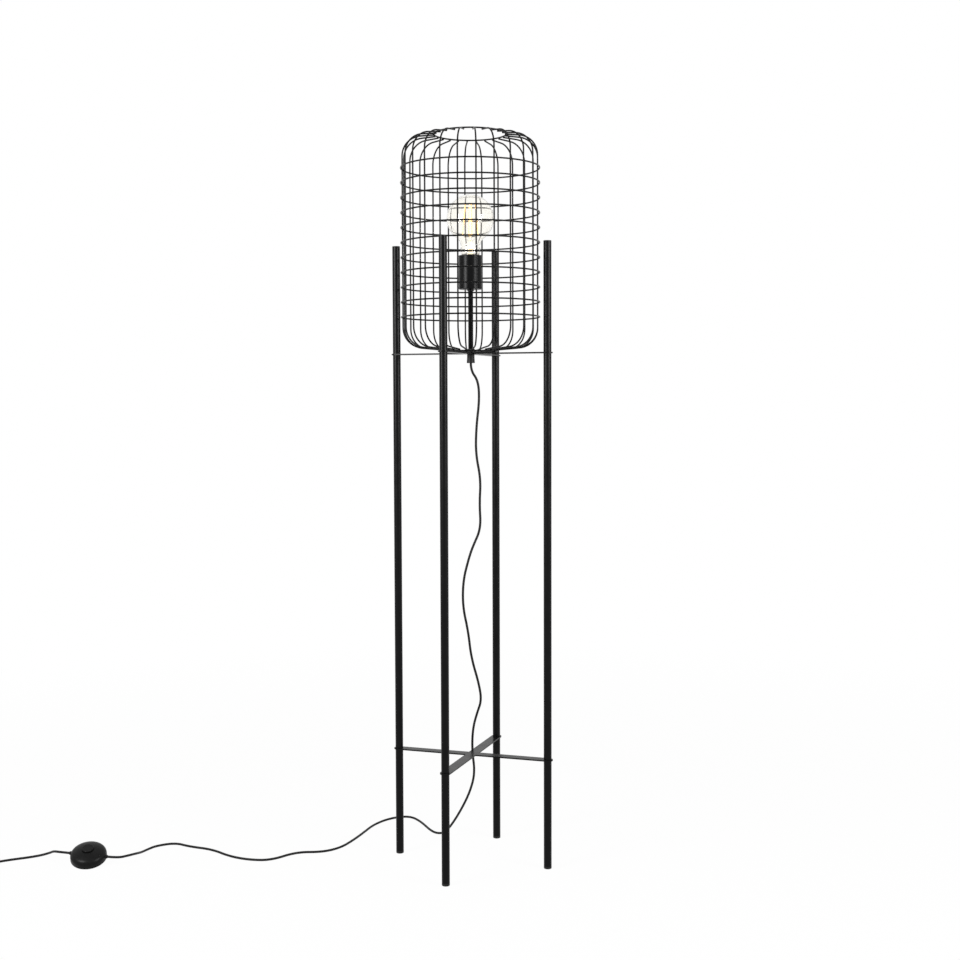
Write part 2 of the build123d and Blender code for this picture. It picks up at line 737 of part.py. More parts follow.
def coil_knot(turns):
    """Place and direction of the coil's centreline after so many turns: clockwise, inwards
    on the floor, up a layer round the reversal, and outwards again."""
    angle = radians(coil_start_angle - 360 * turns)
    from_middle = turns - coil_half
    radius = coil_inner_radius + abs(from_middle) * coil_pitch
    climb = min(1.0, max(0.0, from_middle / (2 * coil_climb) + 0.5))
    outward = coil_pitch if from_middle > 0 else -coil_pitch
    upward = 0.0
    if turns in (0, coil_half, coil_turns):
        outward = 0.0
    if turns == coil_half:
        upward = coil_steepness * coil_rise / (2 * coil_climb)
    spin = -2 * pi * radius
    place = Vector(
        coil_centre[0] + radius * cos(angle),
        coil_centre[1] + radius * sin(angle),
        floor_line + climb * coil_rise,
    )
    heading = Vector(
        outward * cos(angle) - spin * sin(angle),
        outward * sin(angle) + spin * cos(angle),
        upward,
    )
    return place, heading.normalized()


def biarc(start, start_heading, end, end_heading):
    """Two arcs, tangent to each other and to both headings."""
    chord = end - start
    both = start_heading + end_heading
    spread = 2 * (1 - start_heading.dot(end_heading))
    along = chord.dot(both)
    reach = (sqrt(along**2 + spread * chord.dot(chord)) - along) / spread
    join = (start + end + (start_heading - end_heading) * reach) / 2
    first = TangentArc(start, join, tangent=start_heading)
    return [first, TangentArc(join, end, tangent=first % 1)]


def coil_knots():
    """Turns at which two biarcs meet, about a quarter turn apart."""
    spans = round((coil_half - coil_climb) / 0.25)
    inward = [i * (coil_half - coil_climb) / spans for i in range(spans + 1)]
    return inward + [coil_half] + [coil_turns - turn for turn in reversed(inward)]


knots = [coil_knot(turns) for turns in coil_knots()]
coil_in, heading_in = knots[0]
coil_out, heading_out = knots[-1]
coil_start = coil_in - heading_in * cord_diameter
coil_end = coil_out + heading_out * cord_diameter
coil_edges = [Line(coil_start, coil_in)]
for (start, start_heading), (end, end_heading) in zip(knots, knots[1:]):
    coil_edges += biarc(start, start_heading, end, end_heading)
coil_edges.append(Line(coil_out, coil_end))
coil_path = Wire(coil_edges)
coil_section = Plane(origin=coil_start, z_dir=heading_in) * Circle(cord_diameter / 2)
coil = sweep(coil_section, path=coil_path)
save("cord_coil", coil)


def least_gap(path, diameter):
    """The least gap between two stretches of a wound tube, from points on its centreline
    that are half a diameter apart. Stretches less than four diameters along don't count."""
    count = round(2 * path.length / diameter)
    points = [path @ (i / count) for i in range(count + 1)]
    apart = 8
    return min(
        (points[j] - points[i]).length
        for i in range(len(points))
        for j in range(i + apart, len(points))
    ) - diameter


print(
    "cord_coil length", round(coil_path.length, 1),
    "volume over section times length",
    round(coil.volume / (pi * (cord_diameter / 2) ** 2 * coil_path.length), 5),
    "least gap", round(least_gap(coil_path, cord_diameter), 3),
    "width", round(2 * (coil_inner_radius + coil_half * coil_pitch) + cord_diameter, 1),
)
pressed_height = coil_height - button_travel
print(
    "spring least gap at rest", round(coil_height / spring_turns - spring_wire, 2),
    "and pressed", round(pressed_height / spring_turns - spring_wire, 2),
)

lead_points = [(0, 0, grip_bottom), *hanging_points]
lead_points += [(x, y, floor_line) for x, y in floor_points]
lead_points += [*switch_approach_points, beside_switch(entry_place + entry_run), right_entry]
cord_tube("cord_lead", lead_points)

tail_route = [left_entry, beside_switch(-entry_place - entry_run), *tail_points]
tail_route += [(x, y, floor_line) for x, y in tail_floor_points]
tail_route += [coil_start - heading_in * tail_last_run, coil_start]
cord_tube("cord_tail", tail_route)

# ================================================================ plug
plug_axis_height = coil_end.Z
plug_frame = Plane(origin=coil_end, x_dir=(1, 0, 0), z_dir=heading_out)
plug_face = plug_relief_length + plug_body_length
waist = plug_relief_length + plug_waist_share * plug_body_length


def plug_section(width, thickness, along):
    """A rounded cross-section of the plug, square to its axis."""
    corner = 0.45 * min(width, thickness)
    return Pos(0, 0, along) * RectangleRounded(width, thickness, corner)


relief = Cone(plug_relief_tip / 2, plug_relief_root / 2, plug_relief_length, align=MIDDLE_UP)
grip_half = loft(
    [
        plug_section(plug_neck_width, plug_neck_thickness, plug_relief_length),
        plug_section(plug_waist_width, 2 * plug_axis_height, waist),
    ],
    ruled=True,
)
face_half = loft(
    [
        plug_section(plug_waist_width, 2 * plug_axis_height, waist),
        plug_section(plug_face_width, plug_face_thickness, plug_face),
    ],
    ruled=True,
)
plug_body = relief + grip_half + face_half
pin = disc(pin_diameter, pin_length, plug_face)
pin = fillet(pin.edges().sort_by(Axis.Z)[-1], pin_tip_round)
root_start = plug_face - pin_root_length
pin += disc(pin_root_diameter, pin_root_length, root_start)
root_hole = disc(pin_root_diameter + 2 * slip_gap, pin_root_length, root_start)
pin_places = [Pos(side * pin_spacing / 2, 0, 0) for side in (-1, 1)]
for place in pin_places:
    plug_body -= place * root_hole
save("plug_body", plug_frame * plug_body)
save("plug_pins", *[plug_frame * place * pin for place in pin_places])
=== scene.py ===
from math import acos, cos, pi, radians, sin

import bmesh
import bpy
from mathutils import Matrix, Vector


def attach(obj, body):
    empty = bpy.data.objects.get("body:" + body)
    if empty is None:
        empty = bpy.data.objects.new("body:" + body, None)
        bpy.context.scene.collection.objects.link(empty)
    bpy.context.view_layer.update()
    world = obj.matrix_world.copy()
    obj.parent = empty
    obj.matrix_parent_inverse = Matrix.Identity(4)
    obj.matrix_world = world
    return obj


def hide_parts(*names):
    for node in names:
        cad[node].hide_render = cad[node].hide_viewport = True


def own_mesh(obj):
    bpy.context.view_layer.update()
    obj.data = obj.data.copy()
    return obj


# A wire cage floor lamp on four tube legs, with its cord, foot switch and plug. Metres.
# The floor is at zero, the cage's axis is Z, -Y is the front leg and +X the right one.
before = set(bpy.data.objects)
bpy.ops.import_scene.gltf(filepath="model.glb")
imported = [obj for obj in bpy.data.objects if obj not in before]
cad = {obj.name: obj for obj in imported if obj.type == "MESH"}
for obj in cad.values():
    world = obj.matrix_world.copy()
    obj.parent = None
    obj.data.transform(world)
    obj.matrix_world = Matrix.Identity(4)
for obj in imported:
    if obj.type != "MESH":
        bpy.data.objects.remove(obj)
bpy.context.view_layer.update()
scene = bpy.context.scene

# ---------------------------------------------------------------- where the lamp is seen from
# The lamp is seen from a little round to the right of its front leg, with the eye just
# under the cage, so that the cage's mouth and both crosses are nearly edge on.
view_distance = 2.752
view_height = 0.900
view_round = radians(19.045)
view_right = radians(0.3495)
view_down = radians(3.289)
view_lean = radians(-0.187)
view_lens = 53.9
view_film = 36
camera = bpy.data.objects.new("camera", bpy.data.cameras.new("camera"))
scene.collection.objects.link(camera)
camera.data.lens = view_lens
camera.data.sensor_width = view_film
camera.location = (view_distance * sin(view_round), -view_distance * cos(view_round), view_height)
camera.rotation_euler = (
    Matrix.Rotation(view_round - view_right, 3, "Z")
    @ Matrix.Rotation(pi / 2 - view_down, 3, "X")
    @ Matrix.Rotation(view_lean, 3, "Z")
).to_euler()
scene.camera = camera

# ---------------------------------------------------------------- lead
# Round two-core flex with a black PVC jacket. It is clamped in the grip under the upper
# cross, hangs in slow waves behind the lower cross, and lies on the floor up to the switch.
flex_width = 0.0046
floor_line = flex_width / 2 + 0.0001
grip_mouth = (0, 0, 0.9655)
hanging_points = [
    (0, 0, 0.951), (0.013, 0.005, 0.932), (0.015, 0.006, 0.895), (0.009, 0.005, 0.845),
    (0.007, 0.006, 0.793), (0.016, 0.010, 0.743), (0.013, 0.010, 0.695), (0.016, 0.010, 0.648),
    (0, 0.006, 0.612), (-0.007, 0.002, 0.588), (-0.017, -0.001, 0.547), (-0.018, -0.001, 0.497),
    (-0.009, 0.005, 0.448), (-0.005, 0.010, 0.397), (0.008, 0.018, 0.345), (0.012, 0.022, 0.311),
    (0.001, 0.027, 0.285), (-0.010, 0.033, 0.252), (-0.016, 0.045, 0.206), (-0.015, 0.060, 0.157),
    (-0.031, 0.077, 0.114), (-0.056, 0.097, 0.071), (-0.084, 0.118, 0.031), (-0.105, 0.130, 0.007),
]
floor_points = [
    (-0.123, 0.134), (-0.144, 0.149), (-0.184, 0.200), (-0.222, 0.232), (-0.256, 0.205),
    (-0.272, 0.151), (-0.270, 0.089), (-0.270, 0.039), (-0.274, -0.014), (-0.297, -0.051),
    (-0.346, -0.067), (-0.371, -0.128), (-0.412, -0.139), (-0.459, -0.132), (-0.513, -0.104),
    (-0.566, -0.102), (-0.604, -0.090), (-0.632, -0.119),
]
switch_approach_points = [
    (-0.635, -0.148, 0.003), (-0.631, -0.176, 0.0065), (-0.624, -0.203, 0.0135),
    (-0.626, -0.228, 0.017),
]

# The switch lies tipped on its cord, so the line through its two entries is off the floor.
switch_place = Vector((-0.699, -0.2525, 0))
switch_heading = radians(23.5)
switch_tip = radians(21.5)
switch_entry_turn = radians(-11)
switch_radius = 0.0345
switch_foot_round = 0.001
switch_entry_height = 0.0073
switch_entry_place = 0.0375
entry_run = 0.022
switch_lift = (switch_radius - switch_foot_round) * sin(switch_tip)
switch_lift += switch_foot_round * (1 - cos(switch_tip))
switch_frame = (
    Matrix.Translation(switch_place + Vector((0, 0, switch_lift)))
    @ Matrix.Rotation(switch_heading, 4, "Z")
    @ Matrix.Rotation(switch_tip, 4, "X")
    @ Matrix.Rotation(switch_entry_turn, 4, "Z")
)


def beside_switch(distance):
    """A point on the line through the switch's two cord entries."""
    return tuple(switch_frame @ Vector((distance, 0, switch_entry_height)))


def flex(name, points, width):
    """A round cord along one smooth line that its points pull into shape."""
    curve = bpy.data.curves.new(name, "CURVE")
    curve.dimensions = "3D"
    line = curve.splines.new("NURBS")
    line.points.add(len(points) - 1)
    for knot, point in zip(line.points, points):
        knot.co = (*point, 1)
    line.order_u = 3
    line.use_endpoint_u = True
    line.resolution_u = 10
    curve.bevel_depth = width / 2
    curve.bevel_resolution = 6
    curve.use_fill_caps = True
    piece = bpy.data.objects.new(name, curve)
    scene.collection.objects.link(piece)
    return piece


def surface(name):
    """A new material, its node tree and its main shader."""
    made = bpy.data.materials.new(name)
    made.use_nodes = True
    tree = made.node_tree
    return made, tree, tree.nodes["Principled BSDF"]


def noise(tree, size, detail=2.0):
    """Cloudy noise of about that size in metres, fixed to the piece. Gives its value socket."""
    place = tree.nodes.new("ShaderNodeTexCoord")
    cloud = tree.nodes.new("ShaderNodeTexNoise")
    cloud.inputs["Scale"].default_value = 1 / size
    cloud.inputs["Detail"].default_value = detail
    tree.links.new(place.outputs["Object"], cloud.inputs["Vector"])
    return cloud.outputs["Fac"]


# Nearly all of a noise's values lie between these two.
noise_low = 0.3
noise_high = 0.7


def spread(tree, value, low, high):
    """Stretches a noise value so that it runs from low to high."""
    reach = tree.nodes.new("ShaderNodeMapRange")
    reach.inputs["From Min"].default_value = noise_low
    reach.inputs["From Max"].default_value = noise_high
    reach.inputs["To Min"].default_value = low
    reach.inputs["To Max"].default_value = high
    tree.links.new(value, reach.inputs["Value"])
    return reach.outputs["Result"]


def colours(tree, value, low, high):
    """A colour between low and high that follows a noise value."""
    ramp = tree.nodes.new("ShaderNodeValToRGB")
    ramp.color_ramp.elements[0].position = noise_low
    ramp.color_ramp.elements[1].position = noise_high
    ramp.color_ramp.elements[0].color = (*low, 1)
    ramp.color_ramp.elements[1].color = (*high, 1)
    tree.links.new(value, ramp.inputs["Fac"])
    return ramp.outputs["Color"]


def relief(tree, shader, value, depth):
    """Raises the surface by up to depth metres where the noise value is high."""
    bump = tree.nodes.new("ShaderNodeBump")
    bump.inputs["Distance"].default_value = depth
    tree.links.new(value, bump.inputs["Height"])
    tree.links.new(bump.outputs["Normal"], shader.inputs["Normal"])


def moulded(name, low, high, smooth, rough, grain, depth, shine=0.5):
    """Moulded plastic: two shades of one colour, a patchy gloss and a fine skin."""
    made, tree, shader = surface(name)
    shader.inputs["Specular IOR Level"].default_value = shine
    patches = noise(tree, grain * 12)
    tree.links.new(colours(tree, patches, low, high), shader.inputs["Base Color"])
    tree.links.new(spread(tree, patches, smooth, rough), shader.inputs["Roughness"])
    relief(tree, shader, noise(tree, grain, 4.0), depth)
    return made


jacket = moulded(
    "black_pvc_jacket", (0.004, 0.004, 0.004), (0.008, 0.008, 0.008), 0.42, 0.55, 0.0009, 0.00004,
    shine=0.15,
)
lead_points = [grip_mouth, *hanging_points]
lead_points += [(x, y, floor_line) for x, y in floor_points]
lead_points += switch_approach_points
lead_points += [beside_switch(switch_entry_place + entry_run), beside_switch(switch_entry_place)]
lead = flex("lead", lead_points, flex_width)
lead.data.materials.append(jacket)
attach(lead, "lamp")
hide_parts("cord_lead")

# ---------------------------------------------------------------- tail and coil
# The same flex goes on from the other side of the switch, down to the floor, and the rest
# of it is wound up in a neat coil of two layers, just out of sight, for keeping.
tail_points = [
    (-0.775, -0.258, 0.0195), (-0.792, -0.246, 0.011), (-0.811, -0.246, 0.0045),
    (-0.829, -0.259, floor_line), (-0.856, -0.284, floor_line),
]
tail_last_run = 0.024
coil_centre = Vector((-0.9225, -0.307, 0))
coil_mean_radius = 0.0265
coil_pitch = flex_width + 0.00045
coil_rise = flex_width + 0.0009
coil_start = radians(-49)
coil_turns = 4 + 131 / 360
coil_climb = 0.25
coil_points_in_turn = 16
coil_half = coil_turns / 2
coil_inner_radius = coil_mean_radius - coil_half * coil_pitch / 2


def coil_point(turns):
    """Clockwise and inwards on the floor, up a layer round the middle, and outwards again."""
    angle = coil_start - 2 * pi * turns
    from_middle = turns - coil_half
    radius = coil_inner_radius + abs(from_middle) * coil_pitch
    climb = min(1, max(0, from_middle / (2 * coil_climb) + 0.5))
    height = floor_line + coil_rise * climb * climb * (3 - 2 * climb)
    return coil_centre + Vector((radius * cos(angle), radius * sin(angle), height))


coil_steps = round(coil_turns * coil_points_in_turn)
coil_points = [coil_point(coil_turns * i / coil_steps) for i in range(coil_steps + 1)]
into_coil = Vector((sin(coil_start), -cos(coil_start), 0))
out_of_coil = Vector((0, 1, 0))
coil_mouth = coil_points[0] - into_coil * flex_width
coil_end = coil_points[-1] + out_of_coil * flex_width
tail_route = [beside_switch(-switch_entry_place), beside_switch(-switch_entry_place - entry_run)]
tail_route += tail_points
tail_route += [coil_mouth - into_coil * tail_last_run, coil_mouth, *coil_points, coil_end]
tail = flex("tail", tail_route, flex_width)
tail.data.materials.append(jacket)
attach(tail, "lamp")
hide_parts("cord_tail", "cord_coil")


# ---------------------------------------------------------------- plug
# A flat two-pin plug moulded on the end of the flex in the same black PVC, with two solid
# nickel-plated brass pins that are moulded in with it.
def dress(finish, *names):
    """Gives CAD pieces their surface."""
    for name in names:
        piece = cad[name]
        if not piece.material_slots:
            piece.data.materials.append(finish)
        for place in piece.material_slots:
            place.material = finish


def metal(name, low, high, smooth, rough, grain, depth):
    """Bare or plated metal: two close shades, a patchy polish and fine marks."""
    made, tree, shader = surface(name)
    shader.inputs["Metallic"].default_value = 1.0
    patches = noise(tree, grain * 8)
    marks = noise(tree, grain, 3.0)
    tree.links.new(colours(tree, patches, low, high), shader.inputs["Base Color"])
    tree.links.new(spread(tree, marks, smooth, rough), shader.inputs["Roughness"])
    relief(tree, shader, marks, depth)
    return made


nickel = metal(
    "nickel_plate", (0.62, 0.60, 0.56), (0.70, 0.68, 0.64), 0.16, 0.28, 0.0006, 0.000004
)
dress(nickel, "plug_pins")

relief_length = 0.022
relief_tip = 0.0056
relief_root = 0.0096
relief_rings = 6
relief_groove_share = 0.45
relief_waist = 0.0050
relief_waist_taper = 0.3
plug_length = 0.0580
body_stations = [
    (0.0220, 0.0150, 0.0110), (0.0238, 0.0168, 0.0124), (0.0270, 0.0188, 0.0138),
    (0.0320, 0.0216, 0.0151), (0.0370, 0.0239, 0.0157), (0.0418, 0.0260, 0.0158),
    (0.0460, 0.0284, 0.0155), (0.0510, 0.0318, 0.0148), (0.0548, 0.0343, 0.0141),
    (0.0568, 0.0352, 0.0137), (0.0575, 0.0350, 0.0135), (0.0579, 0.0342, 0.0127),
    (plug_length, 0.0334, 0.0119),
]
plug_corner_share = 0.45
pin_spacing = 0.0186
pin_sleeve_width = 0.00412
pin_sleeve_length = 0.010
pin_sleeve_root = 0.0020
points_in_ring = 32


def plug_ring(shape, along, width, thickness, corner_share=plug_corner_share, aside=0.0):
    """A rounded cross-section of the plug, that far from the end of the coil."""
    corner = corner_share * min(width, thickness)
    ring = []
    for i in range(points_in_ring):
        turn = 2 * pi * (i + 0.5) / points_in_ring
        x = (width / 2 - corner) * (1 if cos(turn) > 0 else -1) + corner * cos(turn)
        z = (thickness / 2 - corner) * (1 if sin(turn) > 0 else -1) + corner * sin(turn)
        ring.append(shape.verts.new(coil_end + Vector((aside + x, along, z))))
    return ring


def skin(shape, rings, ends_meet=False):
    """Joins cross-sections one after the other, and caps the two ends unless they meet."""
    following = rings[1:] + rings[:1] if ends_meet else rings[1:]
    for near, far in zip(rings, following):
        for i in range(len(near)):
            shape.faces.new((near[i], near[i - 1], far[i - 1], far[i]))
    if not ends_meet:
        shape.faces.new(rings[0])
        shape.faces.new(rings[-1][::-1])


def finished(name, shape, finish, crease=pi):
    """The piece of that shape and finish, smooth but where it bends by more than crease."""
    bmesh.ops.recalc_face_normals(shape, faces=shape.faces)
    for face in shape.faces:
        face.smooth = True
    for edge in shape.edges:
        edge.smooth = edge.calc_face_angle(0) < crease
    mesh = bpy.data.meshes.new(name)
    shape.to_mesh(mesh)
    shape.free()
    piece = bpy.data.objects.new(name, mesh)
    scene.collection.objects.link(piece)
    piece.data.materials.append(finish)
    return piece


moulding = bmesh.new()
sections = []
ring_pitch = relief_length / relief_rings
lip = 1 - relief_groove_share
for i in range(relief_rings):
    start = i * ring_pitch
    for share, inner in ((0, False), (lip, False), (lip, True), (1, True)):
        along = start + share * ring_pitch
        width = relief_tip + (relief_root - relief_tip) * along / relief_length
        if inner:
            width = relief_waist + relief_waist_taper * (width - relief_waist)
        sections.append(plug_ring(moulding, along, width, width, 0.5))
sections += [plug_ring(moulding, *station) for station in body_stations]
skin(moulding, sections)
for side in (-1, 1):
    sleeve = [
        plug_ring(moulding, along, pin_sleeve_width, pin_sleeve_width, 0.5, side * pin_spacing / 2)
        for along in (plug_length - pin_sleeve_root, plug_length + pin_sleeve_length)
    ]
    skin(moulding, sleeve)
plug = finished("plug", moulding, jacket, crease=radians(40))
plug.parent = tail
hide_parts("plug_body")

# ---------------------------------------------------------------- foot switch
# A round foot switch in glossy black plastic: a domed cover with a short stub for the cord
# at each side, a flat base held by three screws, and one wide button on a spring.
switch_plastic = moulded(
    "glossy_black_switch", (0.002, 0.002, 0.002), (0.004, 0.004, 0.004), 0.32, 0.4, 0.0007,
    0.000015, shine=0.12,
)
steel = metal(
    "bright_zinc_steel", (0.50, 0.50, 0.50), (0.60, 0.60, 0.60), 0.25, 0.42, 0.0005, 0.000008
)
dress(switch_plastic, "switch_cover", "switch_base", "switch_button")
dress(steel, "switch_screws")

# The spring is wound round the switch's axis, stands on the base and carries the button.
spring_radius = 0.0043
spring_wire = 0.0009
spring_foot = 0.003
spring_length = 0.01716
spring_turns = 6
steps_in_spring_turn = 24
sides_of_spring_wire = 10

winding = bmesh.new()
windings = []
spring_rise = (spring_length - spring_wire) / (2 * pi * spring_turns)
spring_steps = spring_turns * steps_in_spring_turn
for i in range(spring_steps + 1):
    turn = 2 * pi * spring_turns * i / spring_steps
    outwards = Vector((cos(turn), sin(turn), 0))
    along = Vector((-spring_radius * sin(turn), spring_radius * cos(turn), spring_rise))
    upwards = outwards.cross(along).normalized()
    middle = outwards * spring_radius
    middle.z = spring_foot + spring_wire / 2 + spring_rise * turn
    ring = []
    for k in range(sides_of_spring_wire):
        round_wire = 2 * pi * k / sides_of_spring_wire
        place = cos(round_wire) * outwards + sin(round_wire) * upwards
        ring.append(winding.verts.new(switch_frame @ (middle + place * spring_wire / 2)))
    windings.append(ring)
skin(winding, windings)
button_spring = finished("button_spring", winding, steel, crease=radians(60))
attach(button_spring, "lamp")
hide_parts("switch_spring")
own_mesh(button_spring)

# ---------------------------------------------------------------- foot caps
# Small black polyethylene caps, pushed into the leg tubes from below, with a rounded edge
# that meets the floor.
cap_plastic = moulded(
    "black_cap_plastic", (0.005, 0.005, 0.005), (0.009, 0.009, 0.009), 0.4, 0.55, 0.0008, 0.00003,
    shine=0.2,
)
dress(cap_plastic, "foot_cap_front", "foot_cap_rear", "foot_cap_left", "foot_cap_right")
dress(cap_plastic, "leg_plugs")

# ---------------------------------------------------------------- legs
# Each leg is three lengths of thin steel tube in line, powder coated in a satin black that
# keeps a fine ripple. The strips' eyes are clamped between the lengths, on studs that are
# screwed into inserts in their ends.
coat_patch_size = 0.02
coat_ripple_size = 0.0007
coat_ripple_depth = 0.00002
coat, coat_tree, coat_shader = surface("satin_black_coat")
coat_shader.inputs["Specular IOR Level"].default_value = 0.12
coat_patches = noise(coat_tree, coat_patch_size)
coat_tree.links.new(
    colours(coat_tree, coat_patches, (0.001, 0.001, 0.0011), (0.002, 0.002, 0.0022)),
    coat_shader.inputs["Base Color"],
)
coat_tree.links.new(spread(coat_tree, coat_patches, 0.27, 0.33), coat_shader.inputs["Roughness"])
relief(coat_tree, coat_shader, noise(coat_tree, coat_ripple_size, 3.0), coat_ripple_depth)
for side in ("front", "rear", "left", "right"):
    for length in ("lower", "middle", "upper"):
        dress(coat, f"leg_{side}_{length}")
dress(steel, "leg_inserts", "leg_studs")

# ---------------------------------------------------------------- crosses
# Two flat steel strips make each cross. They are halved into each other in the middle, and
# the eyes at their ends are clamped between the lengths of the legs.
dress(coat, "lower_strip_left_right", "lower_strip_front_rear")
dress(coat, "upper_strip_left_right", "upper_strip_front_rear")

# ---------------------------------------------------------------- cage
# Twenty-four bent uprights inside eleven hoops of the same steel wire, with a smaller ring
# at each end, spot welded at every crossing and powder coated. It stands on a flat spider.
dress(coat, "cage_uprights", "cage_hoops", "cage_top_ring", "cage_bottom_ring", "cage_spider")

# Each weld leaves a small flat lump of steel between the two wires that it joins.
lowest_hoop = 1.05256
hoop_step = 0.028105
hoops = 11
uprights = 24
first_upright = radians(8.75)
weld_radius = 0.1300
weld_half_width = 0.0021
weld_half_depth = 0.0009
top_weld_radius = 0.0684
top_weld_height = 1.3961
bottom_weld_radius = 0.0500
bottom_weld_height = 0.9893


def weld_lump(shape, radius, angle, height, flat=False):
    """Adds one flattened lump at a crossing. A lump that lies flat is thin in its height."""
    made = bmesh.ops.create_icosphere(shape, subdivisions=2, radius=weld_half_width)
    squash = weld_half_depth / weld_half_width
    thin = Matrix.Diagonal((1, 1, squash, 1)) if flat else Matrix.Diagonal((squash, 1, 1, 1))
    place = Matrix.Rotation(angle, 4, "Z") @ Matrix.Translation((radius, 0, height)) @ thin
    bmesh.ops.transform(shape, matrix=place, verts=made["verts"])


lumps = bmesh.new()
for i in range(uprights):
    upright_angle = first_upright + 2 * pi * i / uprights
    for k in range(hoops):
        weld_lump(lumps, weld_radius, upright_angle, lowest_hoop + k * hoop_step)
    weld_lump(lumps, top_weld_radius, upright_angle, top_weld_height, flat=True)
    weld_lump(lumps, bottom_weld_radius, upright_angle, bottom_weld_height, flat=True)
cage_welds = finished("cage_welds", lumps, coat)
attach(cage_welds, "lamp")

# ---------------------------------------------------------------- stem and cord grip
# A threaded steel tube goes through the spider and the upper cross. The nut clamps them
# against the flared grip below, and the cord comes out through the grip.
stem_foot = 0.972
stem_top = 1.1185
stem_radius = 0.005
stem_bore = 0.0035
thread_pitch = 0.001
thread_depth = 0.00045
rows_in_pitch = 5
points_round_stem = 36


def stem_ring(shape, height, radii):
    """A ring of the stem's points at one height, each with its own radius."""
    ring = []
    for k, radius in enumerate(radii):
        turn = -2 * pi * k / points_round_stem
        ring.append(shape.verts.new((radius * cos(turn), radius * sin(turn), height)))
    return ring


# The rings go up the outside along the thread, and the last two close the ends and the bore.
threaded = bmesh.new()
stem_length = stem_top - stem_foot
thread_rows = round(stem_length / thread_pitch * rows_in_pitch)
stem_rings = []
for i in range(thread_rows + 1):
    height = stem_foot + stem_length * i / thread_rows
    radii = [stem_radius - thread_depth] * points_round_stem
    if 0 < i < thread_rows:
        for k in range(points_round_stem):
            along = (height / thread_pitch + k / points_round_stem) % 1
            radii[k] = stem_radius - thread_depth * abs(2 * along - 1)
    stem_rings.append(stem_ring(threaded, height, radii))
for height in (stem_top, stem_foot):
    stem_rings.append(stem_ring(threaded, height, [stem_bore] * points_round_stem))
skin(threaded, stem_rings, ends_meet=True)
stem = finished("threaded_stem", threaded, coat, crease=radians(60))
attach(stem, "lamp")
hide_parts("stem_tube")
dress(coat, "stem_washer", "stem_nut", "holder_collar")
dress(cap_plastic, "cord_grip")
dress(steel, "cord_grip_screw")
dress(jacket, "cord_in_stem")

# ---------------------------------------------------------------- lampholder
# A turned black metal sleeve covers the holder, whose brass thread shell and contact sit in
# a white insulator on a black plastic base.
brass = metal("brass", (0.62, 0.42, 0.16), (0.72, 0.50, 0.21), 0.2, 0.36, 0.0006, 0.000006)
insulator = moulded(
    "white_insulator", (0.72, 0.70, 0.66), (0.80, 0.78, 0.74), 0.3, 0.45, 0.001, 0.00003
)
dress(coat, "holder_sleeve")
dress(cap_plastic, "holder_base")
dress(insulator, "holder_insulator")
dress(brass, "holder_thread_shell", "holder_centre_contact")
dress(steel, "terminal_screws")

# ---------------------------------------------------------------- bulb
# A large clear globe with a screwed nickel cap. Inside, a glass stem carries four glowing
# filament sticks on thin wires.
black_glass = moulded(
    "black_cap_glass", (0.006, 0.006, 0.010), (0.010, 0.010, 0.016), 0.1, 0.2, 0.0008, 0.00001
)
dress(nickel, "bulb_cap", "bulb_support_wires")
dress(black_glass, "bulb_cap_insulator")

glass_refraction = 1.45
clear, clear_tree, clear_shader = surface("clear_glass_painted_glow")
clear_shader.inputs["Transmission Weight"].default_value = 1.0
clear_shader.inputs["IOR"].default_value = glass_refraction
# The globe's glass is given a faint warm emission of its own: a painted glow that stands in for
# the filaments' glare in the glass.
clear_shader.inputs["Emission Color"].default_value = (1.0, 0.95, 0.86, 1)
clear_shader.inputs["Emission Strength"].default_value = 0.015
clear_tree.links.new(
    colours(clear_tree, noise(clear_tree, 0.05), (0.99, 0.975, 0.93), (1.0, 0.99, 0.965)),
    clear_shader.inputs["Base Color"],
)
clear_tree.links.new(
    spread(clear_tree, noise(clear_tree, 0.03), 0.0, 0.02), clear_shader.inputs["Roughness"]
)

glass_wall = 0.001
globe_radius = 0.045
neck_radius = 0.0185
neck_sweep_radius = 0.020
shoulder_radius = 0.005
seat_radius = 0.0116
cap_top = 1.170
cap_seat_depth = 0.009
globe_centre = 1.239
shoulder_steps = 8
sweep_steps = 16
crown_steps = 40
steps_round_globe = 96


def bulb_outline(wall):
    """Radii and heights of the glass from its lower end to its crown, drawn in by wall."""
    sweep_centre = neck_radius + neck_sweep_radius
    sweep_reach = globe_radius + neck_sweep_radius
    sweep_angle = acos(sweep_centre / sweep_reach)
    sweep_height = globe_centre - sweep_reach * sin(sweep_angle)
    shoulder_centre = neck_radius - shoulder_radius
    points = [(seat_radius - wall, cap_top - cap_seat_depth), (seat_radius - wall, cap_top + wall)]
    radius = shoulder_radius - wall
    for i in range(shoulder_steps + 1):
        turn = pi / 2 * i / shoulder_steps
        points.append(
            (shoulder_centre + radius * sin(turn), cap_top + shoulder_radius - radius * cos(turn))
        )
    radius = neck_sweep_radius + wall
    for i in range(sweep_steps + 1):
        turn = sweep_angle * i / sweep_steps
        points.append((sweep_centre - radius * cos(turn), sweep_height + radius * sin(turn)))
    radius = globe_radius - wall
    for i in range(1, crown_steps + 1):
        turn = -sweep_angle + (pi / 2 + sweep_angle) * i / crown_steps
        points.append((radius * cos(turn), globe_centre + radius * sin(turn)))
    return points


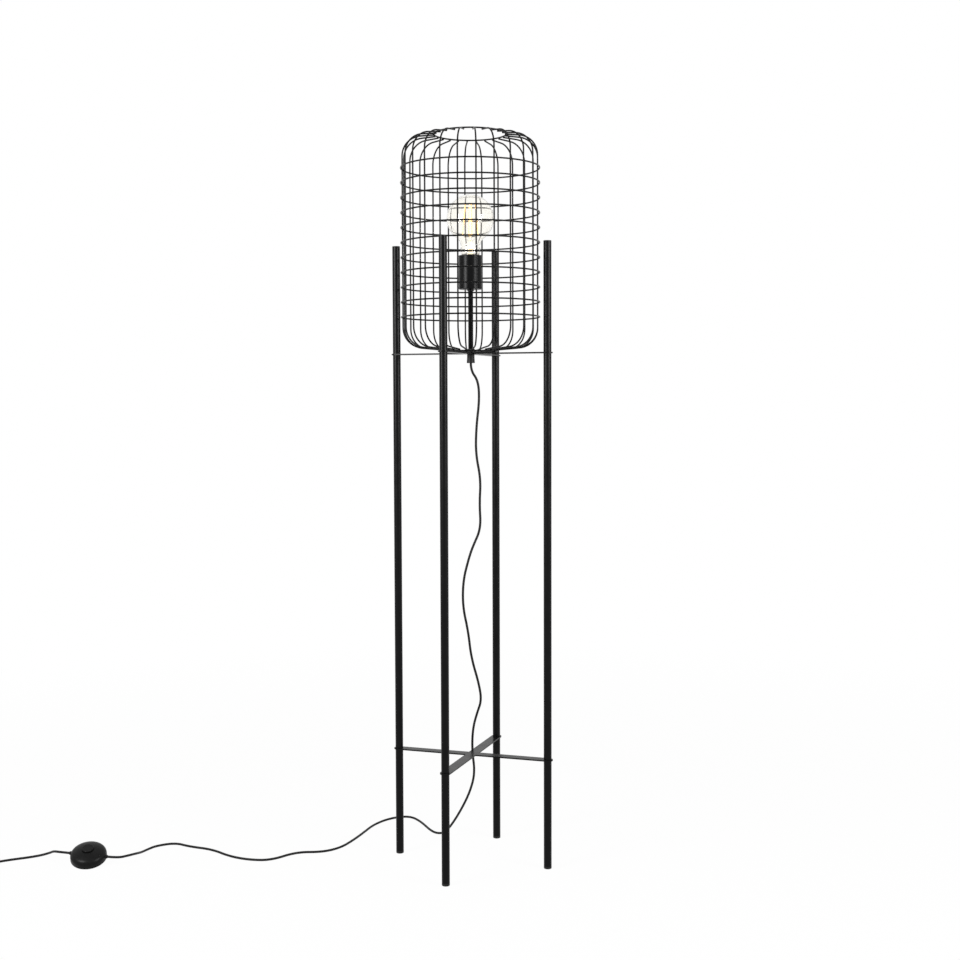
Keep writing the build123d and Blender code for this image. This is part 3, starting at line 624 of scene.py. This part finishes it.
blown = bmesh.new()
glass_profile = bulb_outline(0.0) + bulb_outline(glass_wall)[::-1]
corners = [blown.verts.new((radius, 0, height)) for radius, height in glass_profile]
edges = [blown.edges.new(pair) for pair in zip(corners, corners[1:] + corners[:1])]
bmesh.ops.spin(
    blown,
    geom=corners + edges,
    cent=(0, 0, 0),
    axis=(0, 0, 1),
    angle=2 * pi,
    steps=steps_round_globe,
)
bmesh.ops.remove_doubles(blown, verts=blown.verts, dist=0.000005)
globe = finished("globe", blown, clear)
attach(globe, "bulb")
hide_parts("bulb_glass")

glow, glow_tree, glow_shader = surface("glowing_phosphor")
glow_tree.links.new(
    colours(glow_tree, noise(glow_tree, 0.0015), (1.0, 0.48, 0.10), (1.0, 0.56, 0.16)),
    glow_shader.inputs["Emission Color"],
)
glow_shader.inputs["Base Color"].default_value = (1.0, 0.7, 0.3, 1)
glow_shader.inputs["Emission Strength"].default_value = 1.7
dress(glow, "bulb_filaments")

# The glass stem is given a warm emission: a painted glow that stands in for the filaments' light
# falling on it.
stem_glass_painted_glow, lit_tree, lit_shader = surface("glass_stem_painted_glow")
lit_shader.inputs["Transmission Weight"].default_value = 1.0
lit_shader.inputs["IOR"].default_value = glass_refraction
lit_shader.inputs["Emission Strength"].default_value = 0.5
lit_tree.links.new(
    colours(lit_tree, noise(lit_tree, 0.012), (1.0, 0.72, 0.32), (1.0, 0.82, 0.48)),
    lit_shader.inputs["Emission Color"],
)
lit_tree.links.new(
    spread(lit_tree, noise(lit_tree, 0.03), 0.0, 0.03), lit_shader.inputs["Roughness"]
)
dress(stem_glass_painted_glow, "bulb_glass_stem")

# ---------------------------------------------------------------- floor and light
# A plain white studio floor that runs on into a white surround, and is a trace less white
# near the object. Two soft lamps stand ahead of it, one each side of the eye.
floor_reach = 12
near_floor = 0.8
near_floor_white = 0.97
far_floor = 2.5
ground = bpy.data.meshes.new("floor")
ground.from_pydata(
    [(x * floor_reach, y * floor_reach, 0) for x, y in ((-1, -1), (1, -1), (1, 1), (-1, 1))],
    [],
    [(0, 1, 2, 3)],
)
floor = bpy.data.objects.new("floor", ground)
scene.collection.objects.link(floor)


def background_rays(tree):
    """One where a ray comes from the eye or from a shiny or clear surface, else zero."""
    path = tree.nodes.new("ShaderNodeLightPath")
    total = path.outputs["Is Camera Ray"]
    for kind in ("Is Glossy Ray", "Is Transmission Ray"):
        add = tree.nodes.new("ShaderNodeMath")
        add.operation = "MAXIMUM"
        tree.links.new(total, add.inputs[0])
        tree.links.new(path.outputs[kind], add.inputs[1])
        total = add.outputs["Value"]
    return total


white_floor, floor_tree, floor_shader = surface("white_floor")
floor_shader.inputs["Base Color"].default_value = (0.85, 0.85, 0.85, 1)
floor_shader.inputs["Roughness"].default_value = 0.9
floor_shader.inputs["Specular IOR Level"].default_value = 0.0
floor_lit = floor_tree.nodes.new("ShaderNodeEmission")
floor_mix = floor_tree.nodes.new("ShaderNodeMixShader")
floor_place = floor_tree.nodes.new("ShaderNodeTexCoord")
floor_distance = floor_tree.nodes.new("ShaderNodeVectorMath")
floor_distance.operation = "LENGTH"
floor_fade = floor_tree.nodes.new("ShaderNodeMapRange")
floor_fade.inputs["From Min"].default_value = near_floor
floor_fade.inputs["From Max"].default_value = far_floor
floor_fade.inputs["To Min"].default_value = near_floor_white
floor_fade.inputs["To Max"].default_value = 1.0
floor_tree.links.new(floor_place.outputs["Object"], floor_distance.inputs[0])
floor_tree.links.new(floor_distance.outputs["Value"], floor_fade.inputs["Value"])
floor_share = floor_tree.nodes.new("ShaderNodeMath")
floor_share.operation = "MULTIPLY"
floor_tree.links.new(background_rays(floor_tree), floor_share.inputs[0])
floor_tree.links.new(floor_fade.outputs["Result"], floor_share.inputs[1])
floor_tree.links.new(floor_share.outputs["Value"], floor_mix.inputs["Fac"])
floor_tree.links.new(floor_shader.outputs["BSDF"], floor_mix.inputs[1])
floor_tree.links.new(floor_lit.outputs["Emission"], floor_mix.inputs[2])
floor_tree.links.new(
    floor_mix.outputs["Shader"], floor_tree.nodes["Material Output"].inputs["Surface"]
)
floor.data.materials.append(white_floor)

world = bpy.data.worlds.new("white_surround")
world.use_nodes = True
scene.world = world
surround = world.node_tree
sky = surround.nodes["Background"]
sky_level = surround.nodes.new("ShaderNodeMapRange")
sky_level.inputs["To Min"].default_value = 0.3
sky_level.inputs["To Max"].default_value = 1.0
surround.links.new(background_rays(surround), sky_level.inputs["Value"])
surround.links.new(sky_level.outputs["Result"], sky.inputs["Strength"])
sky.inputs["Color"].default_value = (1, 1, 1, 1)


light_distance = 2.0
light_height = 1.35
light_tall = 0.8
light_aim = Vector((0, 0, 1.1))


def soft_lamp(name, round_from_view, width, watts):
    """A soft lamp that faces the lower part of the cage, set round from the viewpoint."""
    angle = view_round - pi / 2 + round_from_view
    light = bpy.data.lights.new(name, "AREA")
    light.shape = "RECTANGLE"
    light.size = width
    light.size_y = light_tall
    light.energy = watts
    stand = bpy.data.objects.new(name, light)
    stand.location = (light_distance * cos(angle), light_distance * sin(angle), light_height)
    stand.rotation_euler = (light_aim - stand.location).to_track_quat("-Z", "Y").to_euler()
    scene.collection.objects.link(stand)


soft_lamp("left_lamp", round_from_view=radians(-51), width=0.75, watts=38)
soft_lamp("right_lamp", round_from_view=radians(53), width=0.8, watts=35)

scene.view_settings.view_transform = "Standard"
